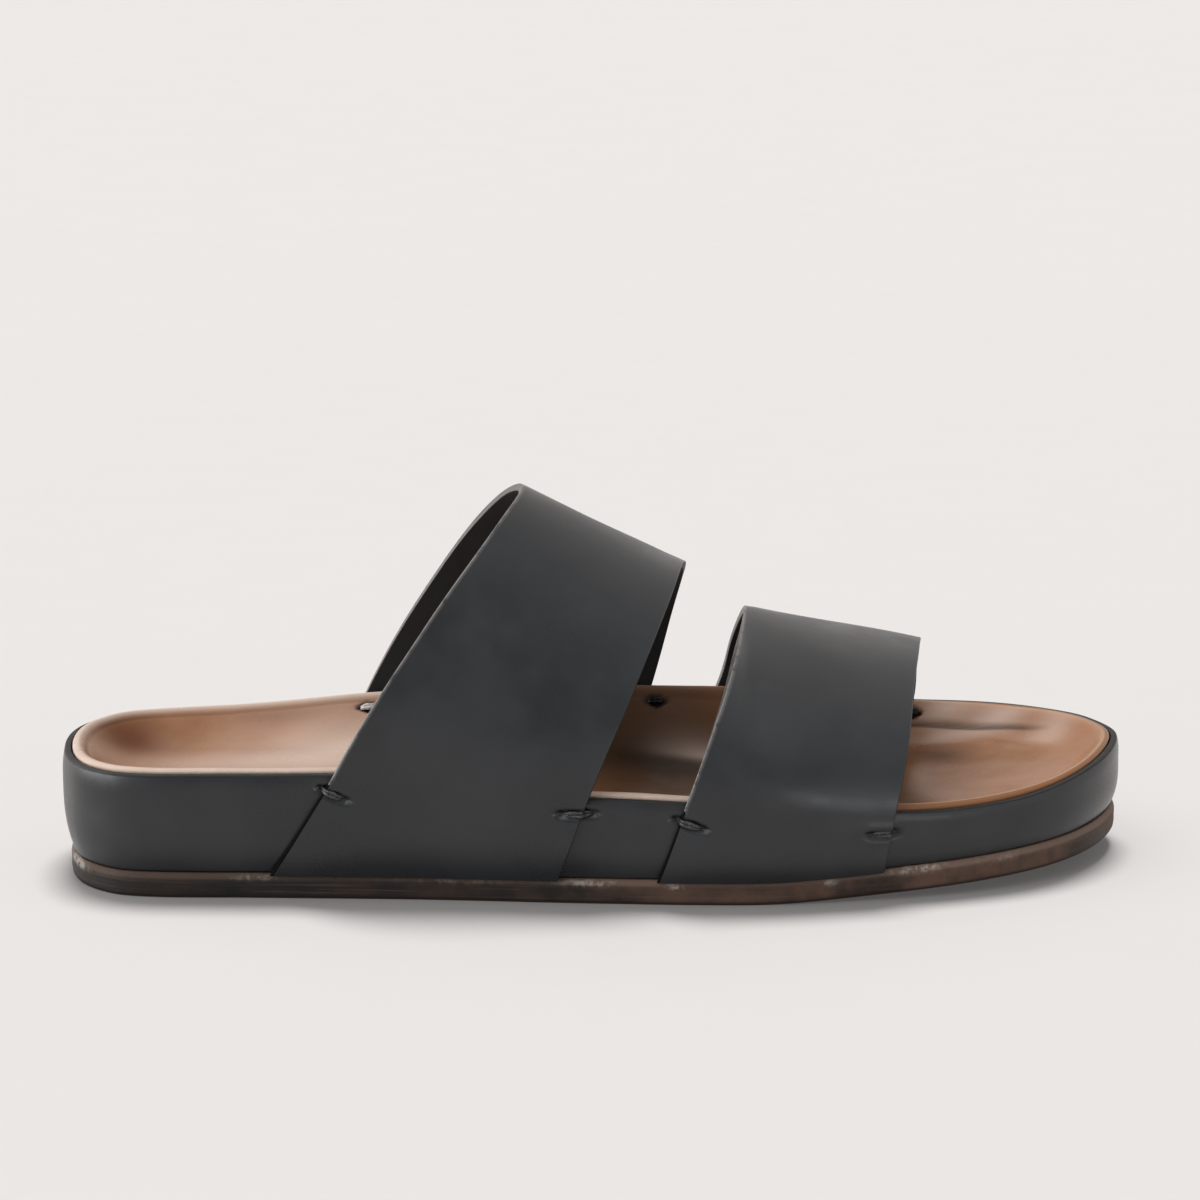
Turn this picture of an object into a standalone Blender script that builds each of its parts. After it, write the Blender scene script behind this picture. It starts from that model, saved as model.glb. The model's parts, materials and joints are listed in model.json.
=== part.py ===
# Right-foot slide sandal: two leather bands over a moulded footbed that is wrapped in leather and set on a
# leather outsole. While modelling, +X runs from the heel tip at x = 0 to the toe, +Y to the big-toe (medial)
# side, and +Z is up. Sizes are in millimetres, and MM turns them into Blender's metres.

import math

import bmesh
import bpy
import numpy as np

MM = 0.001
GAP = 0.3  # clearance between pieces that touch


def table(columns, *rows):
    """A short table of sizes, as a dictionary of named columns."""
    return dict(zip(columns.split(), np.array(rows, float).T))


# Driving dimensions
LENGTH = 280.0  # heel tip to toe tip, over the side wrap
TOE_TIP_Y = 9.0  # the toe tip lies a little to the big-toe side of the heel tip
TOE_SPRING = 5.5  # rise of the sole under the toe tip
SPRING_START = 176.0  # the sole is flat from the heel to here
SPRING_BEND = 16.0  # it bends up over this length and then runs straight
OUTSOLE_THICKNESS = 6.7
WRAP_THICKNESS = 1.6
INSOLE_THICKNESS = 2.0
INSOLE_PROUD = 0.4  # the insole's edge stands above the cut edge of the side wrap
BEAD_INSET = 1.7  # the insole rolls up to a bead this far in from its edge
BEAD_EASE = 0.8  # roundness of the bead where it turns down into the wall
STRAP_THICKNESS = 2.0
STRAP_CLEARANCE = 0.45  # from the side wrap
STRAP_FOOT = 6.6  # height above the tread at which the straps end, at the outsole's bevel
STRAP_SKIVE = 0.6  # share of the thickness left where a strap is pared down at the outsole

# Plan of the side wrap at its widest: half widths on each side of the line through the heel tip
PLAN = table(
    "x lateral medial",
    (3.0, 18.0, 17.5),
    (12.0, 29.0, 28.5),
    (24.0, 33.0, 32.5),
    (48.0, 35.0, 34.0),
    (92.0, 39.0, 35.5),
    (138.0, 45.0, 40.0),
    (180.0, 48.5, 46.0),
    (212.0, 45.5, 48.0),
    (240.0, 39.0, 44.5),
    (261.0, 27.5, 37.0),
    (274.0, 11.5, 26.0),
)

# Height above the floor of the cut edge of the side wrap
RIM = table(
    "x lateral medial",
    (0.0, 33.0, 33.0),
    (50.0, 33.5, 34.0),
    (85.0, 33.5, 36.5),
    (120.0, 29.4, 37.0),
    (157.0, 27.9, 35.0),
    (190.0, 26.0, 33.0),
    (224.0, 23.5, 30.0),
    (250.0, 24.5, 30.0),
    (280.0, 29.8, 29.8),
)

# Moulded top of the insole along the middle, and how far in from the edge its walls reach down
BED = table(
    "x height lateral_wall medial_wall",
    (0.0, 28.0, 14.0, 14.0),
    (40.0, 27.5, 14.0, 15.0),
    (75.0, 27.8, 14.0, 22.0),
    (110.0, 27.3, 14.0, 28.0),
    (145.0, 24.0, 15.0, 24.0),
    (180.0, 20.5, 14.0, 16.0),
    (210.0, 19.5, 12.0, 12.0),
    (240.0, 21.5, 9.0, 9.0),
    (280.0, 25.5, 8.0, 8.0),
)

# Height of the bead above the insole's edge
BEAD = table(
    "x lateral medial",
    (0.0, 0.9, 0.9),
    (60.0, 0.8, 1.0),
    (180.0, 0.8, 1.0),
    (230.0, 1.0, 0.3),
    (260.0, 0.9, 0.2),
    (280.0, 0.5, 0.5),
)

METATARSAL_PAD = dict(x=160.0, y=-2.0, length=20.0, width=20.0, height=2.0)
TOE_BAR = dict(x=221.0, slant=0.25, length=8.0, width=26.0, height=1.5)

# Sides of the wrap: they tuck in at the outsole, more where they are tall, and roll in at the cut edge
LEAST_TUCK = 0.7
TUCK_PER_HEIGHT = 0.063
TUCK_SHARE = 0.55  # of the wall's height
TUCK_POWER = 2.5
ROLL = 0.6
ROLL_SHARE = 0.2
WRAP_LEVELS = (0.0, 0.12, 0.3, 0.6, 0.85, 1.0)
STRAP_LEVELS = WRAP_LEVELS[:4]  # rows of a strap below the rim

INSOLE_INSET = WRAP_THICKNESS + GAP + ROLL

# How far the outsole's edge lies inside the widest line of the side wrap
OUTSOLE_INSET = table(
    "x inset",
    (0.0, 1.7),
    (180.0, 1.5),
    (280.0, 0.8),
)

# Edge of the outsole from its top face to its tread
OUTSOLE_EDGE = table(
    "inset height",
    (0.8, OUTSOLE_THICKNESS),
    (0.0, 5.0),
    (0.0, 0.8),
    (0.5, 0.0),
)

# The last over the footbed: height of its ridge line and how far that lies to the big-toe side
LAST = table(
    "x instep ridge",
    (50.0, 134.0, 2.0),
    (121.0, 98.0, 3.0),
    (158.0, 79.0, 4.0),
    (166.0, 75.0, 4.2),
    (177.0, 64.2, 4.8),
    (184.0, 62.5, 5.0),
    (226.0, 53.2, 7.0),
    (250.0, 47.7, 8.0),
)

# Strap edges round the last: turn is the angle from the lateral rim (0) over the ridge (90) to the medial
# rim (180), and a turn beyond those ends lies on the side wrap, a full SIDE_TURN away at the outsole
SIDE_TURN = 20.0
REAR_STRAP = table(
    "turn back front",
    (-20.0, 54.0, 128.0),
    (0.0, 70.5, 135.8),
    (30.0, 94.5, 148.0),
    (60.0, 112.0, 157.0),
    (90.0, 120.0, 162.5),
    (120.0, 115.0, 164.5),
    (150.0, 101.0, 162.5),
    (180.0, 80.0, 157.5),
    (200.0, 66.0, 152.0),
)
FRONT_STRAP = table(
    "turn back front",
    (-20.0, 153.5, 212.0),
    (0.0, 160.7, 214.5),
    (30.0, 169.0, 218.5),
    (60.0, 174.5, 222.0),
    (90.0, 179.0, 226.0),
    (120.0, 180.5, 228.5),
    (150.0, 179.0, 229.5),
    (180.0, 175.5, 229.5),
    (200.0, 169.0, 227.0),
)

# Facets
OUTLINE_STEPS = 42  # along each half of the outline
BED_STEPS = 12  # across the insole and the footbed
OUTSOLE_STEPS = 4
STRAP_ARCH_STEPS = 28
STRAP_STEPS = 8
WELD = 0.001  # vertices this close are one

# Finishes: colour and roughness
OUTSOLE_LEATHER = dict(colour=(0.045, 0.026, 0.018), roughness=0.7)
FOOTBED_CORK = dict(colour=(0.16, 0.09, 0.05), roughness=0.9)
INSOLE_LEATHER = dict(colour=(0.20, 0.095, 0.05), roughness=0.4)
BLACK_LEATHER = dict(colour=(0.022, 0.022, 0.024), roughness=0.5)


def smooth(columns, key, name, at):
    """A column's value at a place between rows, on a cubic through all the rows."""
    xs, ys = columns[key], columns[name]
    slopes = np.gradient(ys, xs)
    at = min(max(at, xs[0]), xs[-1])
    i = min(int(np.searchsorted(xs, at, side="right")) - 1, len(xs) - 2)
    span = xs[i + 1] - xs[i]
    s = (at - xs[i]) / span
    start = ys[i] * (1 + 2 * s) * (1 - s) ** 2 + ys[i + 1] * s * s * (3 - 2 * s)
    return float(start + span * s * (1 - s) * (slopes[i] * (1 - s) - slopes[i + 1] * s))


def closed_spline(points, steps=24):
    """A smooth closed line through the points, with that many steps between two of them."""
    points = np.asarray(points, float)
    ahead, behind = np.roll(points, -1, axis=0), np.roll(points, 1, axis=0)
    chord = np.linalg.norm(ahead - points, axis=1)[:, None]
    tangents = (ahead - behind) / (chord + np.roll(chord, 1, axis=0))
    s = np.linspace(0, 1, steps, endpoint=False)[None, :, None]
    p, q = points[:, None, :], ahead[:, None, :]
    m, n = (tangents * chord)[:, None, :], (np.roll(tangents, -1, axis=0) * chord)[:, None, :]
    line = p * (1 + 2 * s) * (1 - s) ** 2 + q * s * s * (3 - 2 * s) + s * (1 - s) * (m * (1 - s) - n * s)
    return line.reshape(-1, 2)


def outline_halves():
    """The plan's two halves from heel tip to toe tip, each as dense points and outward normals."""
    lateral = list(zip(PLAN["x"], -PLAN["lateral"]))
    medial = list(zip(PLAN["x"], PLAN["medial"]))
    loop = closed_spline([(0.0, 0.0), *lateral, (LENGTH, TOE_TIP_Y), *reversed(medial)])
    along = np.roll(loop, -1, axis=0) - np.roll(loop, 1, axis=0)
    normals = np.stack([along[:, 1], -along[:, 0]], axis=1) / np.linalg.norm(along, axis=1)[:, None]
    toe = int(np.argmax(loop[:, 0]))
    first = slice(0, toe + 1)
    second = np.r_[0, np.arange(len(loop) - 1, toe - 1, -1)]
    return {"lateral": (loop[first], normals[first]), "medial": (loop[second], normals[second])}


HALVES = outline_halves()


def outline_point(side, share, inset):
    """The plan point a share of the way from heel tip to toe tip along one side, moved inwards by inset."""
    points, normals = HALVES[side]
    walked = np.r_[0, np.cumsum(np.linalg.norm(np.diff(points, axis=0), axis=1))]
    moved = points - inset * normals
    at = share * walked[-1]
    return np.array([np.interp(at, walked, moved[:, 0]), np.interp(at, walked, moved[:, 1])])


def half_width(side, x):
    """Distance of the outline from the long axis on one side, at a place along the shoe."""
    points, _ = HALVES[side]
    return float(np.interp(x, points[:, 0], points[:, 1]))


def edge_distance(x, y, inset):
    """Distance of a plan point from the outline that lies inset inside the widest line."""
    edges = np.vstack([points for points, _ in HALVES.values()])
    return max(0.0, float(np.min(np.hypot(edges[:, 0] - x, edges[:, 1] - y))) - inset)


def sole_rise(x):
    """Height of the tread above the floor: flat to the ball, then the toe spring."""
    def bent(along):
        return along * along / (2 * SPRING_BEND) if along < SPRING_BEND else along - SPRING_BEND / 2

    return TOE_SPRING * bent(max(0.0, x - SPRING_START)) / bent(LENGTH - SPRING_START)


def tuck_inset(level, tall):
    """How far a wall that tall lies inside its widest line, from the outsole (0) to the cut edge (1)."""
    return (LEAST_TUCK + TUCK_PER_HEIGHT * tall) * max(0.0, 1 - level / TUCK_SHARE) ** TUCK_POWER


def roll_inset(level):
    """How far the cut edge of the side wrap rolls in."""
    return ROLL * max(0.0, (level - 1 + ROLL_SHARE) / ROLL_SHARE) ** 2


def swell(pad, x, y):
    """Height that a soft moulded pad adds at a plan point; a slanted pad runs across the foot."""
    middle = pad["x"] + pad.get("slant", 0.0) * y
    off = ((x - middle) / pad["length"]) ** 2 + ((y - pad.get("y", 0.0)) / pad["width"]) ** 2
    return pad["height"] * math.exp(-off)


def insole_top(x, y):
    """Height of the insole's top: a moulded bed whose walls climb to a rolled bead at the rim."""
    lateral, medial = half_width("lateral", x), half_width("medial", x)
    across = min(max((y - lateral) / max(medial - lateral, WELD), 0.0), 1.0)
    side = across * across * (3 - 2 * across)

    def mixed(columns, near="lateral", far="medial"):
        return (1 - side) * smooth(columns, "x", near, x) + side * smooth(columns, "x", far, x)

    reach = mixed(BED, "lateral_wall", "medial_wall")
    rise = mixed(BEAD)
    bead = mixed(RIM) + INSOLE_PROUD + rise
    inwards = edge_distance(x, y, INSOLE_INSET)
    past = max(0.0, inwards - BEAD_INSET)
    climb = max(0.0, 1 - past * past / (past + BEAD_EASE) / reach) ** 2
    short = max(0.0, 1 - inwards / BEAD_INSET)
    bed = smooth(BED, "x", "height", x) + swell(METATARSAL_PAD, x, y) + swell(TOE_BAR, x, y)
    return bed + (bead - bed) * climb - rise * (1 - math.sqrt(1 - short * short))


def wrap_point(side, share, level, depth):
    """A point on the side wrap: share along one side, level up its height and depth in from its outside."""
    widest, _ = outline_point(side, share, 0.0)
    foot = sole_rise(widest) + OUTSOLE_THICKNESS + GAP
    tall = smooth(RIM, "x", side, widest) - foot
    x, y = outline_point(side, share, tuck_inset(level, tall) + roll_inset(level) + depth)
    return np.array([x, y, foot + level * tall])


def last_point(x, turn):
    """A point on the inside of the upper: up the side wrap, then over the last as two quarter ellipses."""
    side = "lateral" if turn < 90 else "medial"
    outward = -1 if side == "lateral" else 1
    climbing = turn if side == "lateral" else 180 - turn
    rim = smooth(RIM, "x", side, x)
    foot = sole_rise(x) + STRAP_FOOT
    level = min(1.0, 1 + climbing / SIDE_TURN)
    wall = half_width(side, x) + outward * (STRAP_CLEARANCE - tuck_inset(level, rim - foot))
    if climbing < 0:
        return x, wall, foot + level * (rim - foot)
    ridge = smooth(LAST, "x", "ridge", x)
    angle = math.radians(climbing)
    height = smooth(LAST, "x", "instep", x) - rim
    return x, ridge + (wall - ridge) * math.cos(angle), rim + height * math.sin(angle)


def material(name, colour, roughness):
    made = bpy.data.materials.new(name)
    made.use_nodes = True
    shader = made.node_tree.nodes["Principled BSDF"]
    shader.inputs["Base Color"].default_value = (*colour, 1.0)
    shader.inputs["Roughness"].default_value = roughness
    shader.inputs["Metallic"].default_value = 0.0
    return made


def piece(name, bm, finish):
    """The mesh as a named object of the sandal, with outward faces."""
    bmesh.ops.remove_doubles(bm, verts=bm.verts, dist=WELD * MM)
    bmesh.ops.recalc_face_normals(bm, faces=bm.faces)
    mesh = bpy.data.meshes.new(name)
    bm.to_mesh(mesh)
    bm.free()
    mesh.shade_smooth()
    mesh.materials.append(finish)
    made = bpy.data.objects.new(name, mesh)
    sandal.objects.link(made)
    made.parent = stand
    return made


def grid(columns, rows):
    """A flat grid whose vertices carry their shares along and across it, from 0 to 1."""
    bm = bmesh.new()
    along, across = (bm.verts.layers.float.new(n) for n in ("along", "across"))
    bmesh.ops.create_grid(bm, x_segments=columns, y_segments=rows, size=0.5)
    for vert in bm.verts:
        vert[along] = round((vert.co.x + 0.5) * columns) / columns
        vert[across] = round((vert.co.y + 0.5) * rows) / rows
    return bm, along, across


def slab(steps, levels):
    """A sole piece: a grid in the plan's shape, extruded down from level to level. Each level gives the
    point of its edge along a side and, if it isn't straight across, its height in plan."""
    bm, along, across = grid(OUTLINE_STEPS, steps)
    faces = list(bm.faces)
    for number, (edge, height) in enumerate(levels):
        if number:
            left = faces
            grown = bmesh.ops.extrude_face_region(bm, geom=left)["geom"]
            faces = [item for item in grown if isinstance(item, bmesh.types.BMFace)]
            if number > 1:
                bmesh.ops.delete(bm, geom=left, context="FACES")
        for vert in {vert for face in faces for vert in face.verts}:
            lateral, medial = (edge(side, vert[along]) for side in ("lateral", "medial"))
            share = 0.5 + 0.5 * math.sin(math.pi * (vert[across] - 0.5))  # rows crowd towards the walls
            x, y, z = lateral + (medial - lateral) * share
            vert.co = MM * x, MM * y, MM * (height(x, y) if height else z)
    return bm


def edge_at(inset):
    return lambda side, share: np.array([*outline_point(side, share, inset), 0.0])


def make_outsole():
    def at(height):
        return lambda x, y: sole_rise(x) + height

    def edge(inset):
        def point(side, share):
            widest, _ = outline_point(side, share, 0.0)
            moved = inset + smooth(OUTSOLE_INSET, "x", "inset", widest)
            return np.array([*outline_point(side, share, moved), 0.0])

        return point

    rows = zip(OUTSOLE_EDGE["inset"], OUTSOLE_EDGE["height"])
    bm = slab(OUTSOLE_STEPS, [(edge(inset), at(height)) for inset, height in rows])
    return piece("outsole", bm, material("outsole_leather", **OUTSOLE_LEATHER))


def make_footbed():
    def at(level):
        return lambda side, share: wrap_point(side, share, level, WRAP_THICKNESS + GAP)

    def top(x, y):
        return insole_top(x, y) - INSOLE_THICKNESS - GAP

    sides = [(at(level), None) for level in reversed(WRAP_LEVELS[:-1])]
    bm = slab(BED_STEPS, [(edge_at(INSOLE_INSET), top), *sides])
    return piece("footbed", bm, material("footbed_cork", **FOOTBED_CORK))


def make_insole():
    def bottom(x, y):
        return insole_top(x, y) - INSOLE_THICKNESS

    bm = slab(BED_STEPS, [(edge_at(INSOLE_INSET), insole_top), (edge_at(INSOLE_INSET), bottom)])
    return piece("insole", bm, material("insole_leather", **INSOLE_LEATHER))


def make_side_wrap():
    """A strip of leather round the footbed, closed into a ring at the heel."""
    bm, along, across = grid(2 * OUTLINE_STEPS, len(WRAP_LEVELS) - 1)
    for vert in bm.verts:
        level = WRAP_LEVELS[round(vert[across] * (len(WRAP_LEVELS) - 1))]
        turn = 2 * vert[along]
        side, share = ("lateral", turn) if turn <= 1 else ("medial", 2 - turn)
        vert.co = MM * wrap_point(side, share, level, 0.0)
    wrap = piece("side_wrap", bm, black_leather)
    thicken(wrap, WRAP_THICKNESS, -1)
    return wrap


def make_strap(name, edges):
    """A band over the last from the outsole's lateral edge to its medial edge, pared thin at both ends."""
    up = [SIDE_TURN * (level - 1) for level in STRAP_LEVELS]
    turns = np.r_[up, np.linspace(0, 180, STRAP_ARCH_STEPS + 1), [180 - turn for turn in reversed(up)]]
    last = len(turns) - 1
    bm, along, across = grid(last, STRAP_STEPS)
    for vert in bm.verts:
        turn = turns[round(vert[along] * last)]
        back, front = (smooth(edges, "turn", edge, turn) for edge in ("back", "front"))
        vert.co = [MM * c for c in last_point(back + vert[across] * (front - back), turn)]
    strap = piece(name, bm, black_leather)
    wall = thicken(strap, STRAP_THICKNESS, 1)
    paring = strap.vertex_groups.new(name="paring")
    for vert in strap.data.vertices:
        turn = turns[round(strap.data.attributes["along"].data[vert.index].value * last)]
        below_rim = max(0.0, -turn, turn - 180) / SIDE_TURN
        paring.add([vert.index], 1 - (1 - STRAP_SKIVE) * below_rim, "REPLACE")
    wall.vertex_group = paring.name
    return strap


def thicken(sheet, thickness, side):
    wall = sheet.modifiers.new("wall", "SOLIDIFY")
    wall.thickness = thickness * MM
    wall.offset = side
    wall.use_even_offset = True
    return wall


for old in list(bpy.data.objects):
    bpy.data.objects.remove(old)
sandal = bpy.data.collections.new("sandal")
bpy.context.scene.collection.children.link(sandal)
stand = bpy.data.objects.new("stand", None)
sandal.objects.link(stand)
black_leather = material("black_leather", **BLACK_LEATHER)

pieces = [
    make_outsole(),
    make_footbed(),
    make_side_wrap(),
    make_insole(),
    make_strap("rear_strap", REAR_STRAP),
    make_strap("front_strap", FRONT_STRAP),
]

# The stand puts the middle of the sandal's box over the origin, with the tread on the floor
bpy.context.view_layer.update()
graph = bpy.context.evaluated_depsgraph_get()
corners = np.array([corner for made in pieces for corner in made.evaluated_get(graph).bound_box])
low, high = corners.min(axis=0), corners.max(axis=0)
stand.location = -(low[0] + high[0]) / 2, -(low[1] + high[1]) / 2, -low[2]
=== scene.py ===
import json
import math

import bpy
import numpy as np
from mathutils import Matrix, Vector
from mathutils.kdtree import KDTree

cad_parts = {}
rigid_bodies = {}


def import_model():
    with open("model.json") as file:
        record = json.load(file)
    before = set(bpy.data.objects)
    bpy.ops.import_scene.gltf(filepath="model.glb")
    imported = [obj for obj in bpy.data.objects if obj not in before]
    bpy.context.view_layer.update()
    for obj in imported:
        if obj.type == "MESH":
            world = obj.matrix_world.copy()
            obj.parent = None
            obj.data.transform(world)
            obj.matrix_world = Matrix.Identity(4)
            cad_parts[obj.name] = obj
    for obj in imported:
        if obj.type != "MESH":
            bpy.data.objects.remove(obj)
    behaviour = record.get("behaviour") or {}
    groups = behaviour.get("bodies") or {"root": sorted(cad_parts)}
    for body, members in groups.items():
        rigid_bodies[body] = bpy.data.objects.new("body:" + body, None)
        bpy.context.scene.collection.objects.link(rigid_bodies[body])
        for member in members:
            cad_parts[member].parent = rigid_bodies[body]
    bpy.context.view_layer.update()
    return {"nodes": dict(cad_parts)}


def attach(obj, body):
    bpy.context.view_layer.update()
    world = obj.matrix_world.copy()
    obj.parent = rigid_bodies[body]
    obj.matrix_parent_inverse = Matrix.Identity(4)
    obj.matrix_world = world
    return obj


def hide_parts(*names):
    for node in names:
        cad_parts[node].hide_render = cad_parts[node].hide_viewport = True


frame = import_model()
print("frame loaded:", ", ".join(sorted(frame["nodes"])))

mm = 0.001
weldWithin = 0.01 * mm

# form of sole and last, in millimetres from the heel tip, as the CAD has it
sole = {
    "length": 280.0,
    "toeTipY": 9.0,
    "toFrame": (-140.0, 0.2314, 0.0),
    "outlineSteps": 60,
    "springRise": 5.5,
    "springStart": 176.0,
    "springBend": 16.0,
    "thickness": 6.7,
    "gap": 0.3,
    "plan": {
        "x": (3, 12, 24, 48, 92, 138, 180, 212, 240, 261, 274),
        "lateral": (18, 29, 33, 35, 39, 45, 48.5, 45.5, 39, 27.5, 11.5),
        "medial": (17.5, 28.5, 32.5, 34, 35.5, 40, 46, 48, 44.5, 37, 26),
    },
    "rim": {
        "x": (0, 50, 85, 120, 157, 190, 224, 250, 280),
        "lateral": (33, 33.5, 33.5, 29.4, 27.9, 26, 23.5, 24.5, 29.8),
        "medial": (33, 34, 36.5, 37, 35, 33, 30, 30, 29.8),
    },
    "instep": {
        "x": (50, 121, 158, 166, 177, 184, 226, 250),
        "height": (134, 98, 79, 75, 64.2, 62.5, 53.2, 47.7),
        "ridge": (2, 3, 4, 4.2, 4.8, 5, 7, 8),
    },
}


def through(rows, key, name, at):  # a smooth line through the rows of a table
    xs, ys = np.array(rows[key], float), np.array(rows[name], float)
    slopes = np.gradient(ys, xs)
    at = np.clip(at, xs[0], xs[-1])
    i = np.clip(np.searchsorted(xs, at, side="right") - 1, 0, len(xs) - 2)
    span = xs[i + 1] - xs[i]
    s = (at - xs[i]) / span
    level = ys[i] * (1 + 2 * s) * (1 - s) ** 2 + ys[i + 1] * s * s * (3 - 2 * s)
    return level + span * s * (1 - s) * (slopes[i] * (1 - s) - slopes[i + 1] * s)


def closedLine(points, steps):  # a smooth closed line through a few points
    points = np.array(points, float)
    ahead, behind = np.roll(points, -1, axis=0), np.roll(points, 1, axis=0)
    chord = np.linalg.norm(ahead - points, axis=1)[:, None]
    tangent = (ahead - behind) / (chord + np.roll(chord, 1, axis=0))
    s = np.linspace(0, 1, steps, endpoint=False)[None, :, None]
    p, q = points[:, None], ahead[:, None]
    m, n = (tangent * chord)[:, None], (np.roll(tangent, -1, axis=0) * chord)[:, None]
    line = p * (1 + 2 * s) * (1 - s) ** 2 + q * s * s * (3 - 2 * s) + s * (1 - s) * (m * (1 - s) - n * s)
    return line.reshape(-1, 2)


def walkSides():  # each side of the outline from heel tip to toe tip
    plan = sole["plan"]
    lateral = [(x, -y) for x, y in zip(plan["x"], plan["lateral"])]
    medial = list(zip(plan["x"], plan["medial"]))
    loop = closedLine([(0, 0), *lateral, (sole["length"], sole["toeTipY"]), *medial[::-1]], sole["outlineSteps"])
    along = np.roll(loop, -1, axis=0) - np.roll(loop, 1, axis=0)
    normal = np.stack([along[:, 1], -along[:, 0]], axis=1) / np.linalg.norm(along, axis=1)[:, None]
    toe = int(np.argmax(loop[:, 0]))
    order = {"lateral": np.arange(toe + 1), "medial": np.r_[0, np.arange(len(loop) - 1, toe - 1, -1)]}
    made = {}
    for side, index in order.items():
        walk = np.r_[0, np.cumsum(np.linalg.norm(np.diff(loop[index], axis=0), axis=1))]
        made[side] = {"walk": walk / walk[-1], "points": loop[index], "normals": normal[index]}
    return made


outline = walkSides()
edgeTree = KDTree(sum(len(s["points"]) for s in outline.values()))
for number, point in enumerate(np.vstack([s["points"] for s in outline.values()])):
    edgeTree.insert((*point, 0), number)
edgeTree.balance()


def outlineAt(side, share, inset):
    line = outline[side]
    x, y, nx, ny = (np.interp(share, line["walk"], line[k][:, c]) for k in ("points", "normals") for c in (0, 1))
    return x - inset * nx, y - inset * ny


def halfWidth(side, x):
    points = outline[side]["points"]
    return np.interp(x, points[:, 0], points[:, 1])


def edgeDistance(x, y):  # from the widest line, for arrays
    found = [edgeTree.find((a, b, 0))[2] for a, b in zip(np.ravel(x), np.ravel(y))]
    return np.array(found).reshape(np.shape(x))


def soleRise(x):
    bend, start = sole["springBend"], sole["springStart"]

    def bent(t):
        return np.where(t < bend, t * t / (2 * bend), t - bend / 2)

    return sole["springRise"] * bent(np.maximum(0, x - start)) / bent(sole["length"] - start)


def toFrame(points):
    return (np.asarray(points, float) + np.array(sole["toFrame"])) * mm


# modelling helpers
def only(*objs):
    bpy.ops.object.select_all(action="DESELECT")
    for o in objs:
        o.select_set(True)
    bpy.context.view_layer.objects.active = objs[0]


def readVertices(piece):
    flat = np.empty(3 * len(piece.data.vertices))
    piece.data.vertices.foreach_get("co", flat)
    return flat.reshape(-1, 3)


def readNumbers(piece, name, kind=np.float32):
    values = np.empty(len(piece.data.vertices), kind)
    piece.data.attributes[name].data.foreach_get("value", values)
    return values


def addGrid(name, columns, rows):  # a sheet, with the column and row of each vertex
    bpy.ops.object.select_all(action="DESELECT")
    bpy.ops.mesh.primitive_grid_add(x_subdivisions=columns, y_subdivisions=rows, size=1)
    sheet = bpy.context.object
    sheet.name = sheet.data.name = name
    places = np.rint((readVertices(sheet) + 0.5) * (columns, rows, 1)).astype(int)
    return sheet, places[:, 0], places[:, 1]


def placeVertices(piece, points, chosen=slice(None)):  # points in millimetres from the heel tip
    places = readVertices(piece)
    places[chosen] = toFrame(points)
    piece.data.vertices.foreach_set("co", places.ravel())
    piece.data.update()


def keepNumbers(piece, **numbers):  # numbers at each vertex, for the material
    for name, values in numbers.items():
        layer = piece.data.attributes.new(name, "FLOAT", "POINT")
        layer.data.foreach_set("value", np.asarray(values, np.float32).ravel())


def applyModifier(piece, kind, **settings):
    only(piece)
    made = piece.modifiers.new(kind.lower(), kind)
    for key, value in settings.items():
        setattr(made, key, value)
    bpy.ops.object.modifier_apply(modifier=made.name)


def editMesh(piece, *steps):  # runs edit-mode operators on the whole mesh and leaves it selected
    only(piece)
    bpy.ops.object.mode_set(mode="EDIT")
    bpy.ops.mesh.select_mode(type="VERT")
    bpy.ops.mesh.select_all(action="SELECT")
    for step, settings in steps:
        step(**settings)
    bpy.ops.object.mode_set(mode="OBJECT")


def facesOut(piece):
    editMesh(piece, (bpy.ops.mesh.normals_make_consistent, {"inside": False}))


def weld(piece):
    editMesh(piece, (bpy.ops.mesh.remove_doubles, {"threshold": weldWithin}))
    facesOut(piece)


ripples = {"count": 12, "slowest": 0.6, "fastest": 1.6, "calm": 3.5}


def softNoise(points, size, seed):  # gentle seeded unevenness, about -1 to 1
    rng = np.random.default_rng(seed)
    total = np.zeros(len(points))
    for _ in range(ripples["count"]):
        wave = rng.normal(size=3)
        wave *= rng.uniform(ripples["slowest"], ripples["fastest"]) * 2 * math.pi / size / np.linalg.norm(wave)
        total += np.sin(points @ wave + rng.uniform(0, 2 * math.pi))
    return total / ripples["calm"]


def bell(t, wide, power=2):  # 1 in the middle, fading to both sides
    return np.exp(-(t / wide) ** power)


def fade(x, start, end):  # 0 before the start, 1 past the end
    return np.clip((x - start) / (end - start), 0, 1)


def crowded(share, even=0.0):  # steps from 0 to 1 that crowd towards both ends
    return even * share + (1 - even) / 2 * (1 - np.cos(np.pi * share))


def mound(x, y, long, wide, rise, slant=0.0):  # a soft round rise, hollow or patch of tone, in millimetres
    return {"x": x, "y": y, "long": long, "wide": wide, "rise": rise, "slant": slant}


def swells(x, y, mounds):
    total = 0
    for form in mounds:
        lengthwise = x - form["x"] - form["slant"] * (y - form["y"])
        total = total + form["rise"] * bell(lengthwise, form["long"]) * bell(y - form["y"], form["wide"])
    return total


def unit(v):
    return v / np.maximum(np.linalg.norm(v, axis=-1, keepdims=True), 1e-9)


def handIn(piece, node, slot, *materials):
    for made in materials:
        piece.data.materials.append(made)
    only(piece)
    bpy.ops.object.shade_smooth()
    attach(piece, "root")
    if node:
        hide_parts(node)
    print(piece.name, len(piece.data.polygons), "faces")


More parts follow.
